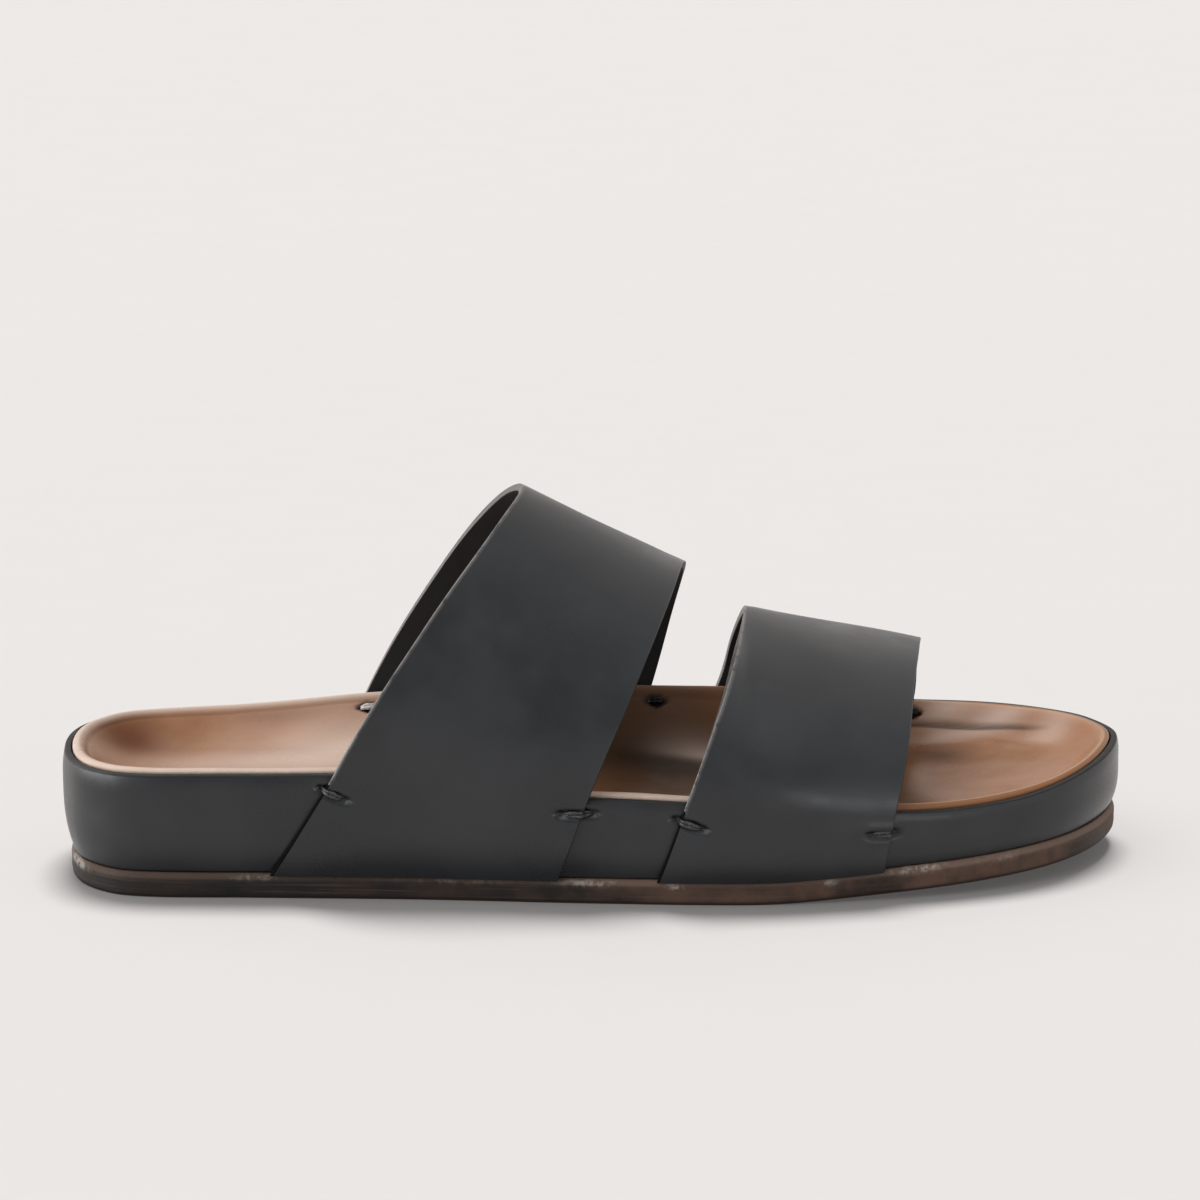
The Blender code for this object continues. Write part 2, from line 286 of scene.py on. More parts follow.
# shader helpers
def newNode(tree, kind, inputs=None, **settings):
    made = tree.nodes.new(kind)
    for key, value in settings.items():
        setattr(made, key, value)
    for key, value in (inputs or {}).items():
        if isinstance(value, bpy.types.NodeSocket):
            tree.links.new(value, made.inputs[key])
        else:
            made.inputs[key].default_value = value
    return made


def calc(tree, operation, a, b=0.0, clamp=False):
    return newNode(tree, "ShaderNodeMath", {0: a, 1: b}, operation=operation, use_clamp=clamp).outputs[0]


def times(tree, first, *others):
    for other in others:
        first = calc(tree, "MULTIPLY", first, other)
    return first


def remap(tree, value, low, high, newLow=0.0, newHigh=1.0):
    ends = {"From Min": low, "From Max": high, "To Min": newLow, "To Max": newHigh}
    return newNode(tree, "ShaderNodeMapRange", {"Value": value, **ends}, interpolation_type="SMOOTHSTEP").outputs[0]


def mixColour(tree, share, a, b):
    a, b = (c if isinstance(c, bpy.types.NodeSocket) else (*c, 1) for c in (a, b))
    return newNode(tree, "ShaderNodeMix", {0: share, 6: a, 7: b}, data_type="RGBA").outputs[2]


def coats(tree, colour, *layers):  # colours laid over one another, each with its share
    for share, over in layers:
        colour = mixColour(tree, share, colour, over)
    return colour


def noise(tree, vector, scale, detail=3.0, rough=0.55):
    inputs = {"Vector": vector, "Scale": scale, "Detail": detail, "Roughness": rough}
    return newNode(tree, "ShaderNodeTexNoise", inputs).outputs[0]


def stretched(tree, vector, scale):
    return newNode(tree, "ShaderNodeMapping", {"Vector": vector, "Scale": scale}).outputs[0]


def vertexNumber(tree, name):
    return newNode(tree, "ShaderNodeAttribute", attribute_name=name).outputs["Fac"]


def newGroup(name, inputs, outputs):
    tree = bpy.data.node_groups.new(name, "ShaderNodeTree")
    for label, value in inputs.items():
        kind = "NodeSocketVector" if value is None else "NodeSocketFloat"
        socket = tree.interface.new_socket(label, in_out="INPUT", socket_type=kind)
        if value is not None:
            socket.default_value = value
    for label in outputs:
        tree.interface.new_socket(label, in_out="OUTPUT", socket_type="NodeSocketFloat")
    return tree, tree.nodes.new("NodeGroupInput").outputs, tree.nodes.new("NodeGroupOutput").inputs


def useGroup(tree, group, inputs):
    return newNode(tree, "ShaderNodeGroup", inputs, node_tree=group).outputs


def grainGroup():  # pebbled hide with fine pores
    inputs = {"Vector": None, "Scale": 900.0, "Pebble": 0.6, "Fine": 0.3, "Rolling": 0.4}
    tree, given, out = newGroup("hideGrain", inputs, ["Height", "Creases"])
    place, scale, bend = given["Vector"], given["Scale"], 0.0009
    wobble = newNode(tree, "ShaderNodeTexNoise", {"Vector": place, "Scale": scale, "Detail": 2.0}).outputs["Color"]
    bent = newNode(tree, "ShaderNodeVectorMath", {0: wobble, 1: (bend, bend, bend)}, operation="MULTIPLY").outputs[0]
    moved = newNode(tree, "ShaderNodeVectorMath", {0: place, 1: bent}, operation="ADD").outputs[0]
    cells = newNode(tree, "ShaderNodeTexVoronoi", {"Vector": moved, "Scale": scale}, feature="DISTANCE_TO_EDGE")
    pebble = remap(tree, cells.outputs["Distance"], 0.0, 0.22)
    total = times(tree, pebble, given["Pebble"])
    for share, finer in (("Fine", 2.7), ("Rolling", 0.12)):
        uneven = noise(tree, place, times(tree, scale, finer), 2.0)
        total = calc(tree, "ADD", total, times(tree, uneven, given[share]))
    tree.links.new(total, out["Height"])
    tree.links.new(calc(tree, "SUBTRACT", 1.0, pebble), out["Creases"])
    return tree


def patchGroup():  # cloudy patches of tone, and a few sharper specks
    tree, given, out = newGroup("tonePatches", {"Vector": None, "Scale": 40.0, "Specks": 400.0}, ["Cloud", "Speck"])
    for label, scale, detail, low, high in (("Cloud", "Scale", 4.0, 0.32, 0.68), ("Speck", "Specks", 3.0, 0.6, 0.72)):
        tree.links.new(remap(tree, noise(tree, given["Vector"], given[scale], detail, 0.6), low, high), out[label])
    return tree


def wearAndSheenGroup():  # a mask strongest at an edge and broken up by noise: rubbed wear on the insole's edge, a painted highlight along the straps' edges
    inputs = {"Vector": None, "Distance": 0.0, "Reach": 2.0, "Scale": 300.0}
    tree, given, out = newGroup("edgeWearAndSheen", inputs, ["Worn"])
    near = calc(tree, "SUBTRACT", 1.0, calc(tree, "DIVIDE", given["Distance"], given["Reach"]), clamp=True)
    broken = remap(tree, noise(tree, given["Vector"], given["Scale"], 4.0, 0.65), 0.28, 0.55)
    tree.links.new(times(tree, near, broken), out["Worn"])
    return tree


hideGrain, tonePatches, edgeWearAndSheen = grainGroup(), patchGroup(), wearAndSheenGroup()


def newMaterial(name):
    made = bpy.data.materials.new(name)
    made.use_nodes = True
    tree = made.node_tree
    return made, tree, tree.nodes["Principled BSDF"], newNode(tree, "ShaderNodeTexCoord").outputs["Object"]


def setSurface(tree, shader, colour, roughness, height=None, bump=0.3, depth=0.0002, specular=0.5):
    tree.links.new(colour, shader.inputs["Base Color"])
    tree.links.new(roughness, shader.inputs["Roughness"])
    shader.inputs["Specular IOR Level"].default_value = specular
    if height is not None:
        made = newNode(tree, "ShaderNodeBump", {"Height": height, "Strength": bump, "Distance": depth})
        tree.links.new(made.outputs[0], shader.inputs["Normal"])


def blackLeather():  # satin dyed hide of straps and side wrap
    look = {"dark": (0.0075, 0.0085, 0.0105), "worn": (0.0155, 0.0165, 0.0185), "edgeSheen": (0.18, 0.168, 0.156),
            "hole": (0.001, 0.001, 0.001)}
    made, tree, shader, place = newMaterial("blackLeather")
    grain = useGroup(tree, hideGrain, {"Vector": place, "Scale": 1250.0, "Pebble": 0.08, "Fine": 0.2, "Rolling": 0.5})
    patch = useGroup(tree, tonePatches, {"Vector": place, "Scale": 40.0, "Specks": 900.0})
    edge = vertexNumber(tree, "edgeMm")
    edgeSheen = useGroup(tree, edgeWearAndSheen, {"Vector": place, "Distance": edge, "Reach": 1.0, "Scale": 300.0})
    colour = coats(
        tree, look["dark"],
        (times(tree, patch["Cloud"], 0.6), look["worn"]),
        # painted highlight: light caught along the straps' edges, broken up like rubbing
        (times(tree, edgeSheen["Worn"], 0.8), look["edgeSheen"]),
        # painted shade in the tacks' holes and slits
        (vertexNumber(tree, "hole"), look["hole"]),
    )
    rough = calc(tree, "ADD", remap(tree, patch["Cloud"], 0, 1, 0.27, 0.36), times(tree, grain["Creases"], 0.03))
    setSurface(tree, shader, colour, rough, grain["Height"], 0.15, 0.00015)
    return made


def strapLining():  # matt flesh side inside the straps
    look = {"dark": (0.004, 0.0038, 0.0036), "light": (0.012, 0.0106, 0.0094)}
    made, tree, shader, place = newMaterial("strapLining")
    grain = useGroup(tree, hideGrain, {"Vector": place, "Scale": 2200.0, "Pebble": 0.2, "Fine": 0.7, "Rolling": 0.5})
    patch = useGroup(tree, tonePatches, {"Vector": place, "Scale": 70.0, "Specks": 1200.0})
    colour = mixColour(tree, patch["Cloud"], look["dark"], look["light"])
    setSurface(tree, shader, colour, remap(tree, patch["Cloud"], 0, 1, 0.75, 0.9), grain["Height"], 0.5, 0.0002)
    return made


def cutEdge(name, look):  # burnished raw edges
    made, tree, shader, place = newMaterial(name)
    fibre = noise(tree, place, 1800.0, 4.0, 0.7)
    patch = useGroup(tree, tonePatches, {"Vector": place, "Scale": 160.0, "Specks": 900.0})
    share = times(tree, remap(tree, fibre, 0.45, 0.7), patch["Cloud"])
    colour = mixColour(tree, share, look["dark"], look["fibre"])
    setSurface(tree, shader, colour, remap(tree, fibre, 0.3, 0.7, 0.32, 0.5), fibre, 0.35, specular=0.6)
    return made


def insoleLeather():  # burnished vegetable-tanned brown, with painted shade at the heel cup, between the straps, in the toe's hollow and creases and beside the front strap, and a painted sheen on the heel bed, the toe walls and the rim's crest
    look = {"tan": (0.3, 0.147, 0.08), "warm": (0.235, 0.105, 0.047), "paintedShade": (0.022, 0.0095, 0.0024),
            "heelShade": (0.1, 0.03, 0.009), "paintedSheen": (0.5, 0.375, 0.31), "rimHeel": (0.54, 0.44, 0.375),
            "rimToe": (0.38, 0.225, 0.135), "slope": (0.2, 0.092, 0.042), "seam": (0.012, 0.006, 0.004)}
    made, tree, shader, place = newMaterial("insoleLeather")
    grain = useGroup(tree, hideGrain, {"Vector": place, "Scale": 1500.0, "Pebble": 0.2, "Fine": 0.4, "Rolling": 0.5})
    patch = useGroup(tree, tonePatches, {"Vector": place, "Scale": 45.0, "Specks": 500.0})
    paintedShade, edge = vertexNumber(tree, "paintedShade"), vertexNumber(tree, "edgeMm")
    axes = newNode(tree, "ShaderNodeSeparateXYZ", {0: place}).outputs
    toe, heel = remap(tree, axes["X"], 0.03, 0.08), remap(tree, axes["X"], -0.04, -0.01, 1, 0)
    far = remap(tree, axes["Y"], -0.01, 0.02)
    rubbed = useGroup(tree, edgeWearAndSheen, {"Vector": place, "Distance": edge, "Reach": 3.2, "Scale": 160.0})
    streak = remap(tree, noise(tree, stretched(tree, place, (40.0, 260.0, 120.0)), 1.0, 5.0, 0.65), 0.35, 0.7)
    # the rim's crest: burnished lighter, with a painted highlight brightest at the heel and on the far heel, toned
    # down as painted shade on the far side between the straps
    seen = calc(tree, "SUBTRACT", edge, times(tree, far, heel, 0.75))
    shaded = times(tree, far, calc(tree, "SUBTRACT", 1.0, calc(tree, "ADD", heel, toe), clamp=True))
    light = remap(tree, shaded, 0, 1, 0.85, 0.2)
    rim = mixColour(tree, toe, look["rimHeel"], look["rimToe"])
    colour = coats(
        tree, look["tan"],
        (patch["Cloud"], look["warm"]),
        (times(tree, streak, 0.35), look["warm"]),
        # painted shade, reddish in the heel cup; the same dark brown also gives the few specks
        (paintedShade, mixColour(tree, heel, look["paintedShade"], look["heelShade"])),
        # painted sheen
        (vertexNumber(tree, "paintedSheen"), look["paintedSheen"]),
        (times(tree, patch["Speck"], 0.08), look["paintedShade"]),
        # painted shade in the toe crease and in the groove inside the rim
        (times(tree, vertexNumber(tree, "groove"), 0.8), look["paintedShade"]),
        (times(tree, remap(tree, seen, 0.9, 3.1, 1, 0), light), rim),
        (times(tree, remap(tree, edge, 0.9, 1.5, 1, 0), toe), look["slope"]),
        (times(tree, rubbed["Worn"], 0.2), look["warm"]),
        # painted shade in the recess round each inside stitch
        (vertexNumber(tree, "hole"), look["seam"]),
    )
    rough = calc(tree, "ADD", remap(tree, patch["Cloud"], 0, 1, 0.2, 0.28), times(tree, paintedShade, 0.35))
    setSurface(tree, shader, colour, rough, grain["Height"], 0.15, 0.00015, 0.15)
    return made


def outsoleLeather():  # oak-bark sole leather: a dark stained edge with layers, scuffed at its bevel; painted darker towards the heel and towards the floor as shade, and lighter at its bevel as a painted highlight
    look = {"edge": (0.024, 0.0148, 0.0107), "toe": (0.1, 0.056, 0.039), "heel": (0.0085, 0.0078, 0.0084),
            "line": (0.08, 0.049, 0.034), "bevel": (0.17, 0.115, 0.088), "scuff": (0.42, 0.37, 0.33),
            "dark": (0.012, 0.008, 0.0065), "tread": (0.16, 0.095, 0.055)}
    made, tree, shader, place = newMaterial("outsoleLeather")
    grain = useGroup(tree, hideGrain, {"Vector": place, "Scale": 1000.0, "Pebble": 0.2, "Fine": 0.8, "Rolling": 0.4})
    cloud = useGroup(tree, tonePatches, {"Vector": place, "Scale": 60.0, "Specks": 260.0})["Cloud"]
    layers = noise(tree, stretched(tree, place, (25.0, 25.0, 1500.0)), 1.0, 4.0, 0.6)
    height, along = vertexNumber(tree, "heightMm"), vertexNumber(tree, "alongMm")
    toe = remap(tree, along, 60.0, 220.0)
    thin = times(tree, remap(tree, height, 1.75, 2.05), remap(tree, height, 2.2, 2.5, 1, 0))
    stretch = times(tree, remap(tree, along, 140.0, 160.0), remap(tree, along, 185.0, 200.0, 1, 0))
    broken = remap(tree, noise(tree, place, 420.0, 5.0, 0.7), 0.42, 0.62)
    colour = coats(
        # painted shade: the edge runs from near-black at the heel to brown at the toe
        tree, mixColour(tree, cloud, look["heel"], look["edge"]),
        (toe, mixColour(tree, cloud, look["edge"], look["toe"])),
        (times(tree, remap(tree, layers, 0.5, 0.75), 0.5), look["line"]),
        # painted highlight along the rounded top bevel
        (times(tree, remap(tree, height, 4.6, 5.6), 0.6), mixColour(tree, toe, look["line"], look["bevel"])),
        (times(tree, thin, stretch, 0.6), look["line"]),
        # painted shade, darker towards the floor
        (remap(tree, height, 0.4, 1.4, 0.75, 0), look["dark"]),
        (times(tree, vertexNumber(tree, "scuff"), broken), look["scuff"]),
        (vertexNumber(tree, "tread"), mixColour(tree, cloud, look["tread"], look["edge"])),
    )
    rough = remap(tree, cloud, 0, 1, 0.5, 0.75)
    setSurface(tree, shader, colour, rough, calc(tree, "ADD", grain["Height"], layers), 0.4, 0.00025, 0.22)
    return made


def waxedThread(name, look):
    made, tree, shader, place = newMaterial(name)
    fibre = noise(tree, place, 2600.0, 3.0, 0.6)
    colour = mixColour(tree, remap(tree, fibre, 0.45, 0.7), look["dark"], look["worn"])
    rough = remap(tree, fibre, 0.3, 0.7, 0.25, 0.4)
    setSurface(tree, shader, colour, rough, fibre, 0.3, 0.0001, look["specular"])
    return made


def dullBlack(name, look):  # dull near-black as painted shade: the cleft beside a strap's tight back edge, the wrap's turned top and the straps' front edges
    made, tree, shader, place = newMaterial(name)
    shade = mixColour(tree, noise(tree, place, 300.0), look["dark"], look["light"])
    rough = remap(tree, noise(tree, place, 500.0), 0.3, 0.7, look["rough"], look["rough"] + 0.1)
    setSurface(tree, shader, shade, rough, specular=look["specular"])
    return made


def footbedCork():
    look = {"light": (0.3, 0.19, 0.1), "dark": (0.12, 0.065, 0.03)}
    made, tree, shader, place = newMaterial("footbedCork")
    cells = newNode(tree, "ShaderNodeTexVoronoi", {"Vector": place, "Scale": 420.0}).outputs["Distance"]
    colour = mixColour(tree, remap(tree, cells, 0.1, 0.7), look["light"], look["dark"])
    setSurface(tree, shader, colour, remap(tree, noise(tree, place, 300.0), 0.3, 0.7, 0.8, 0.95), cells, 0.4)
    return made


black, lining, brown = blackLeather(), strapLining(), insoleLeather()
rawEdge = cutEdge("strapEdge", {"dark": (0.038, 0.036, 0.034), "fibre": (0.18, 0.164, 0.148)})
dyedEdge = cutEdge("wrapEdge", {"dark": (0.008, 0.0075, 0.007), "fibre": (0.02, 0.018, 0.016)})
soleLeather, cork = outsoleLeather(), footbedCork()
thread = waxedThread("waxedThread", {
    "dark": (0.016, 0.0155, 0.0155), "worn": (0.06, 0.057, 0.054), "specular": 0.5})
# lit and shaded copies of the inside stitches' black thread: painted light as a pale grey, painted shade as a darker,
# duller black
shadedThread = waxedThread("shadedThread", {
    "dark": (0.003, 0.003, 0.0032), "worn": (0.009, 0.0085, 0.0085), "specular": 0.15})
litThread = waxedThread("litInsideThread", {
    "dark": (0.3, 0.28, 0.265), "worn": (0.6, 0.58, 0.56), "specular": 0.5})
gapShade = dullBlack("paintedGapShade", {
    "dark": (0.002, 0.002, 0.002), "light": (0.006, 0.006, 0.0065), "rough": 0.85, "specular": 0.05})
shadedRim = dullBlack("shadedRim", {
    "dark": (0.006, 0.0058, 0.0056), "light": (0.012, 0.0115, 0.011), "rough": 0.5, "specular": 0.3})
print("materials made")


# the wall of the sole tucks in towards the outsole and rolls in at its rim
wall = {"leastTuck": 0.7, "tuckPerHeight": 0.063, "tuckShare": 0.55, "tuckPower": 2.5, "roll": 0.6, "rollShare": 0.2}


def tuckIn(level, tall):
    most = wall["leastTuck"] + wall["tuckPerHeight"] * tall
    return most * np.maximum(0, 1 - level / wall["tuckShare"]) ** wall["tuckPower"]


def rollIn(level):
    return wall["roll"] * np.maximum(0, (level - 1 + wall["rollShare"]) / wall["rollShare"]) ** 2


def wallHeights(side, x):  # foot and rim of the side wrap
    return soleRise(x) + sole["thickness"] + sole["gap"], through(sole["rim"], "x", side, x)


def wrapPoint(side, share, level, depth=0.0):
    foot, rim = wallHeights(side, outlineAt(side, share, 0)[0])
    x, y = outlineAt(side, share, tuckIn(level, rim - foot) + rollIn(level) + depth)
    return np.stack([x, y, foot + level * (rim - foot)], axis=-1)


# straps over the last, their edges as x at each turn from the lateral rim over the foot
# in their forms, y and the width are turns in degrees
strapForm = {
    "thickness": 2.0, "clearance": 0.45, "foot": 6.6, "pared": 0.4, "sideTurn": 20.0,
    "wallSteps": 44, "archSteps": 110, "acrossSteps": 64, "even": 0.6, "edgeRound": 0.42,
    "unevenness": 0.22, "waveSize": 34.0, "lasted": 1.2,
    "gapWide": 0.75, "gapBelow": 1.0, "spared": 0.6, "sparedBelow": 2.0, "shadedWide": 0.05,
}
rearStrap = {
    "name": "rearBand", "node": "rear_strap", "seed": 3,
    "edges": {
        "turn": (-20, 0, 30, 60, 90, 120, 150, 180, 200),
        "back": (54, 70.5, 94.5, 112, 120, 115, 101, 80, 66),
        "front": (128, 135.8, 148, 157, 162.5, 164.5, 162.5, 157.5, 152),
    },
    "forms": (mound(131.5, -12.0, 3.0, 4.5, 0.6), mound(100.0, 20.0, 22.0, 14.0, -0.5)),
}
frontStrap = {
    "name": "frontBand", "node": "front_strap", "seed": 8,
    "edges": {
        "turn": (-20, 0, 30, 60, 90, 120, 150, 180, 200),
        "back": (153.5, 160.7, 169, 174.5, 179, 180.5, 179, 175.5, 169),
        "front": (212, 214.5, 218.5, 222, 226, 228.5, 229.5, 229.5, 227),
    },
    "forms": (mound(211.0, -6.0, 7.0, 4.0, 0.36), mound(207.0, 9.0, 14.0, 6.0, -0.12)),
}


def lastPoint(x, turn):  # inside of a strap
    x, turn = np.broadcast_arrays(np.asarray(x, float), np.asarray(turn, float))
    near = turn < 90
    climbing = np.where(near, turn, 180 - turn)
    rim = np.where(near, through(sole["rim"], "x", "lateral", x), through(sole["rim"], "x", "medial", x))
    foot = soleRise(x) + strapForm["foot"]
    level = np.minimum(1, 1 + climbing / strapForm["sideTurn"])
    stand = strapForm["clearance"] - tuckIn(level, rim - foot)
    side = np.where(near, halfWidth("lateral", x) - stand, halfWidth("medial", x) + stand)
    height, ridge = (through(sole["instep"], "x", k, x) for k in ("height", "ridge"))
    angle = np.radians(np.maximum(climbing, 0))
    y = np.where(climbing < 0, side, ridge + (side - ridge) * np.cos(angle))
    z = np.where(climbing < 0, foot + level * (rim - foot), rim + (height - rim) * np.sin(angle))
    return np.stack([x, y, z], axis=-1)


def strapNormal(x, turn):
    alongX = lastPoint(x + 0.5, turn) - lastPoint(x - 0.5, turn)
    return unit(np.cross(alongX, lastPoint(x, turn + 0.5) - lastPoint(x, turn - 0.5)))


def strapThickness(turn):
    past = np.maximum(0, np.maximum(-turn, turn - 180)) / strapForm["sideTurn"]
    return strapForm["thickness"] * (1 - strapForm["pared"] * past)


# bar tacks: waxed thread across the edge of a strap at each corner, with one end down in the wrap
tackForm = {
    "rearBand": {
        "back": {"level": 0.82, "reach": 3.6, "shift": 3.1, "fall": 2.8, "sunk": 0.0,
                 "inside": 0.0, "insideEdge": 8.1},
        "front": {"level": 0.826, "reach": 4.4, "shift": 1.3, "fall": 0.0, "sunk": 0.1,
                  "inside": 2.9, "insideEdge": 7.5},
    },
    "frontBand": {
        "back": {"level": 0.751, "reach": 3.8, "shift": 2.8, "fall": 2.0, "sunk": 0.05,
                 "inside": 4.5, "insideEdge": 6.2},
        "front": {"level": 0.655, "reach": 3.7, "shift": 2.2, "fall": 0.0, "sunk": 0.45,
                  "inside": 1.3, "insideEdge": 6.2},
    },
    "radius": 0.54, "strandApart": 0.46, "crossing": 0.2, "rings": 48, "sides": 12, "lobes": 0.1, "plies": 3,
    "plyTurns": 3.0, "taper": 0.45, "endPower": 30, "low": 0.3, "step": 1.75, "stepAhead": 0.7, "stepLong": 1.3,
    "dive": 2.3, "diveLong": 2.3, "divePower": 1.6,
}
tackDraw = {
    "deep": 6.0, "fade": 0.4, "dimple": 0.4, "dimpleLong": 4.2, "dimpleWide": 3.6, "groove": 0.45, "grooveWide": 1.2,
    "lip": 0.3, "lipAway": 2.1, "lipWide": 0.8, "hole": 1.1, "holePast": 0.1, "holeLong": 1.3, "holeWide": 0.75,
    "slit": 0.5, "slitMore": 1.1, "slitDark": 0.8, "holeDark": 1.5, "bare": 0.2,
}
insideTack = {
    "reach": 2.5, "radius": 0.6, "strandApart": 0.42, "points": 9,
    "path": {"along": (-1, -0.7, 0, 0.7, 1), "out": (-1.5, -0.6, -0.25, -0.6, -1.5)},
    "recess": 0.9, "recessLong": 4.0, "recessWide": 2.3, "pointed": 0.3,
    "recessEdge": 1.1, "darkEdge": 1.15, "darkFade": 0.35,
}


def tackPlaces():
    made = []
    for strap in (rearStrap, frontStrap):
        for edge, inwards in (("back", 1), ("front", -1)):
            form = tackForm[strap["name"]][edge]
            past = (1 - form["level"]) * strapForm["sideTurn"]
            for side, outward, turn in (("lateral", -1, -past), ("medial", 1, 180 + past)):
                x = float(through(strap["edges"], "turn", edge, turn)) + inwards * form["shift"]
                ends = []
                for end in (-1, 1):
                    at = x + end * inwards * form["reach"]
                    foot, rim = wallHeights(side, at)
                    height = foot + form["level"] * (rim - foot) - end * form["fall"] / 2
                    ends.append(np.array([at, halfWidth(side, at), height]))
                along = unit(ends[1] - ends[0])
                out = unit(np.cross(along, (0, 0, 1.0)))
                out = out if out[1] * outward > 0 else -out
                up = np.cross(out, along)
                made.append({**form, "x": x, "side": side, "outward": outward, "along": along, "out": out,
                             "up": up if up[2] > 0 else -up, "middle": (ends[0] + ends[1]) / 2})
    return made


tackSpots = tackPlaces()


def tackRelief(points):  # how far the leather is drawn in round each tack, and where shade is painted dark in its holes and along its slit
    form = tackDraw
    drawn, dark = np.zeros(points.shape[:-1]), np.zeros(points.shape[:-1])
    for spot in tackSpots:
        away, reach = points - spot["middle"], spot["reach"]
        s, t = away @ spot["along"], away @ spot["up"]
        near = bell(away @ spot["out"], form["deep"], 8)
        inside = 1 / (1 + np.exp((np.abs(s) - reach) / form["fade"]))
        ends = bell(np.abs(s) - reach - form["holePast"], form["holeLong"]) * bell(t, form["holeWide"])
        drawn += near * (form["dimple"] * bell(s, form["dimpleLong"]) * bell(t, form["dimpleWide"])
                         + form["groove"] * inside * bell(t, form["grooveWide"])
                         - form["lip"] * inside * bell(np.abs(t) - form["lipAway"], form["lipWide"])
                         + form["hole"] * ends)
        slit = form["slit"] + form["slitMore"] * np.cos(np.clip(s / reach, -1, 1) * np.pi / 2)
        shade = form["holeDark"] * ends + form["slitDark"] * inside * bell(t, slit, 4) - form["bare"]
        dark = np.maximum(dark, near * np.clip(shade, 0, 1))
    return drawn, dark


gridNames = ("gridColumn", "gridRow")


def keepGrid(sheet, column, row):
    for name, values in zip(gridNames, (column, row)):
        sheet.data.attributes.new(name, "INT", "POINT").data.foreach_set("value", values.astype(np.int32))


def dropGrid(piece):
    for name in gridNames:
        piece.data.attributes.remove(piece.data.attributes[name])


def extrudeTo(piece, pointsAt):  # extrudes the selected sheet and places the new layer by its columns and rows
    only(piece)
    bpy.ops.object.mode_set(mode="EDIT")
    bpy.ops.mesh.extrude_region()
    bpy.ops.object.mode_set(mode="OBJECT")
    column, row = (readNumbers(piece, name, np.int32) for name in gridNames)
    picked = np.empty(len(piece.data.vertices), bool)
    piece.data.vertices.foreach_get("select", picked)
    placeVertices(piece, pointsAt(column[picked], row[picked]), picked)
    return picked


def darkenFaces(piece, name, index):  # faces all of whose corners are marked take another material
    marked = readNumbers(piece, name)
    for face in piece.data.polygons:
        if face.material_index != 1 and min(marked[v] for v in face.vertices) > 0.5:
            face.material_index = index


# thickens a sheet, with materials for its outside, its inside, the cut rim and the painted shade on the faces marked
# as gaps
def makeShell(piece, insideAt, rounding, segments):
    inner = extrudeTo(piece, insideAt).astype(int)
    for face in piece.data.polygons:
        total = sum(inner[v] for v in face.vertices)
        face.material_index = 0 if total == 0 else 1 if total == len(face.vertices) else 2
    dropGrid(piece)
    facesOut(piece)
    applyModifier(piece, "BEVEL", width=rounding * mm, segments=segments, limit_method="ANGLE",
                  angle_limit=math.radians(45), material=2)
    darkenFaces(piece, "gap", 3)


def makeStrap(strap):
    rows, end = strapForm["acrossSteps"], strapForm["sideTurn"]
    climb = np.linspace(-end, 0, strapForm["wallSteps"] + 1)
    arch = np.linspace(0, 180, strapForm["archSteps"] + 1)
    turns = np.r_[climb, arch[1:-1], 180 - climb[::-1]]  # closer steps on the walls, where the tacks are
    sheet, column, row = addGrid(strap["name"], len(turns) - 1, rows)

    def places(column, row):
        turn, share = turns[column], crowded(row / rows, strapForm["even"])
        back, front = (through(strap["edges"], "turn", e, turn) for e in ("back", "front"))
        return back + share * (front - back), turn, share * (front - back), (1 - share) * (front - back)

    def insideAt(column, row):
        x, turn, _, _ = places(column, row)
        return lastPoint(x, turn) + strapNormal(x, turn) * swells(x, turn, strap["forms"])[:, None]

    x, turn, fromBack, fromFront = places(column, row)
    past = np.maximum(-turn, turn - 180)  # how far below the rim
    normal = strapNormal(x, turn)
    outside = insideAt(column, row) + normal * strapThickness(turn)[:, None]
    drawn, dark = tackRelief(outside)
    free = np.clip((1 - past / end) * strapForm["lasted"], 0, 1)  # the lasted ends lie flat
    wave = strapForm["unevenness"] * softNoise(outside, strapForm["waveSize"], strap["seed"]) * free
    placeVertices(sheet, outside + normal * (wave - drawn)[:, None])
    keepGrid(sheet, column, row)
    spared = strapForm["spared"]  # the painted edge highlight is weaker on the front edges and on the lasted ends below the rim, where less light falls
    fromEdge = np.minimum(fromBack, fromFront + spared) + spared * (past > strapForm["sparedBelow"])
    # painted shade in the cleft along the back edges below the rim
    gap = (fromBack < strapForm["gapWide"]) & (past > strapForm["gapBelow"])
    keepNumbers(sheet, edgeMm=fromEdge, hole=dark, gap=gap, frontEdge=fromFront < strapForm["shadedWide"])
    editMesh(sheet)
    makeShell(sheet, insideAt, strapForm["edgeRound"], 3)
    # the straps' front edges take painted shade
    darkenFaces(sheet, "frontEdge", 4)
    handIn(sheet, strap["node"], "black_leather", black, lining, rawEdge, gapShade, shadedRim)


for strap in (rearStrap, frontStrap):
    makeStrap(strap)

sideWrap = {"steps": 800, "levels": 36, "thickness": 1.6, "edgeRound": 0.3, "unevenness": 0.14, "waveSize": 26.0,
            "seed": 5, "drawn": 0.8, "noEdgeSheen": 60.0}


